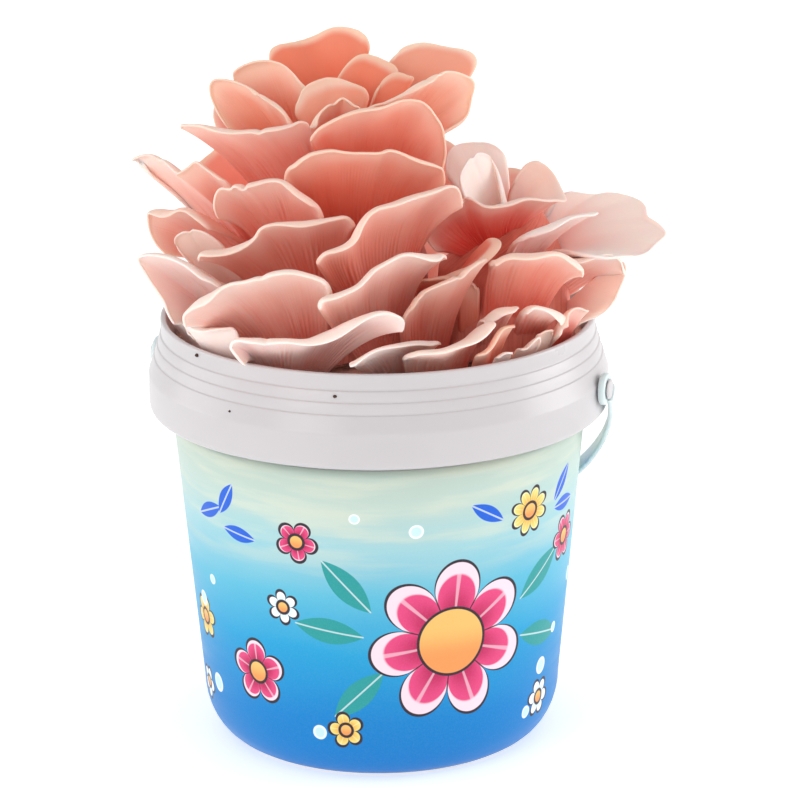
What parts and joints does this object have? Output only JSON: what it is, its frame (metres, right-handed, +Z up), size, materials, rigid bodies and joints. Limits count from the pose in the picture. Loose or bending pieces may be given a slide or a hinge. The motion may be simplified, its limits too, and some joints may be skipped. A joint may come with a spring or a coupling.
{
  "type": "mushroom grow kit",
  "caption": "Bucket of grow substrate with a bail handle and a wraparound label, with layered clusters of pink oyster mushroom caps rising out of its open top.",
  "frame": {"origin": "middle of the bucket's flat base, on the surface that it stands on", "axes": "+Z up along the bucket's axis, -Y the front of the label, +X to the right as seen from the front"},
  "size_m": [0.2131, 0.1986, 0.2926],
  "materials": {
    "white_plastic": "smooth",
    "frosted_plastic": "satin",
    "label_film": "satin",
    "grow_substrate": "rough",
    "mushroom_flesh": "matte"
  },
  "bodies": {
    "kit": {"bucket": "white_plastic", "label_wrap": "label_film", "substrate_block": "grow_substrate", "stalk_main": "mushroom_flesh", "stalk_right": "mushroom_flesh", "cap_top_back": "mushroom_flesh", "cap_top_right": "mushroom_flesh", "cap_inner_back": "mushroom_flesh", "cap_inner_right": "mushroom_flesh", "cap_right_front_top": "mushroom_flesh", "cap_left_back_top": "mushroom_flesh", "cap_left_front_top": "mushroom_flesh", "cap_cup": "mushroom_flesh", "cap_inner_front": "mushroom_flesh", "cap_five_left": "mushroom_flesh", "cap_five_right": "mushroom_flesh", "cap_four_middle": "mushroom_flesh", "cap_four_left": "mushroom_flesh", "cap_left_tip": "mushroom_flesh", "cap_left_notched": "mushroom_flesh", "cap_left_middle": "mushroom_flesh", "cap_left_ear": "mushroom_flesh", "cap_three_left": "mushroom_flesh", "cap_three_right": "mushroom_flesh", "cap_left_low": "mushroom_flesh", "cap_two_left": "mushroom_flesh", "cap_two_right": "mushroom_flesh", "cap_one_left": "mushroom_flesh", "cap_one_right": "mushroom_flesh", "bud_rim_left": "mushroom_flesh", "bud_rim_front": "mushroom_flesh", "cap_gap_upper": "mushroom_flesh", "cap_gap_lower": "mushroom_flesh", "stem_gap": "mushroom_flesh", "cap_back_pale": "mushroom_flesh", "cap_folded": "mushroom_flesh", "cap_funnel": "mushroom_flesh", "cap_right_wing": "mushroom_flesh", "cap_far_right": "mushroom_flesh", "cap_right_middle": "mushroom_flesh", "cap_right_low": "mushroom_flesh", "cap_right_low_lobe": "mushroom_flesh", "cap_front_bottom": "mushroom_flesh", "cap_front_diagonal": "mushroom_flesh", "bud_front_right": "mushroom_flesh", "bud_right_a": "mushroom_flesh", "bud_right_b": "mushroom_flesh", "cap_right_rim": "mushroom_flesh", "cap_right_side": "mushroom_flesh", "cap_right_far_low": "mushroom_flesh", "cap_back_low_left": "mushroom_flesh", "cap_back_low_middle": "mushroom_flesh", "cap_back_mid_left": "mushroom_flesh", "cap_back_mid_middle": "mushroom_flesh", "cap_back_mid_right": "mushroom_flesh", "cap_back_high_left": "mushroom_flesh", "cap_back_high_right": "mushroom_flesh", "cap_right_back_low": "mushroom_flesh", "cap_right_back_mid": "mushroom_flesh"},
    "handle": {"bail_handle": "frosted_plastic"}
  },
  "joints": [
    {"name": "bail_swing", "type": "hinge", "parent": "kit", "child": "handle", "pos_m": [0, 0, 0.155], "axis": [0.9511, -0.309, 0], "range_deg": [0, 100]}
  ]
}
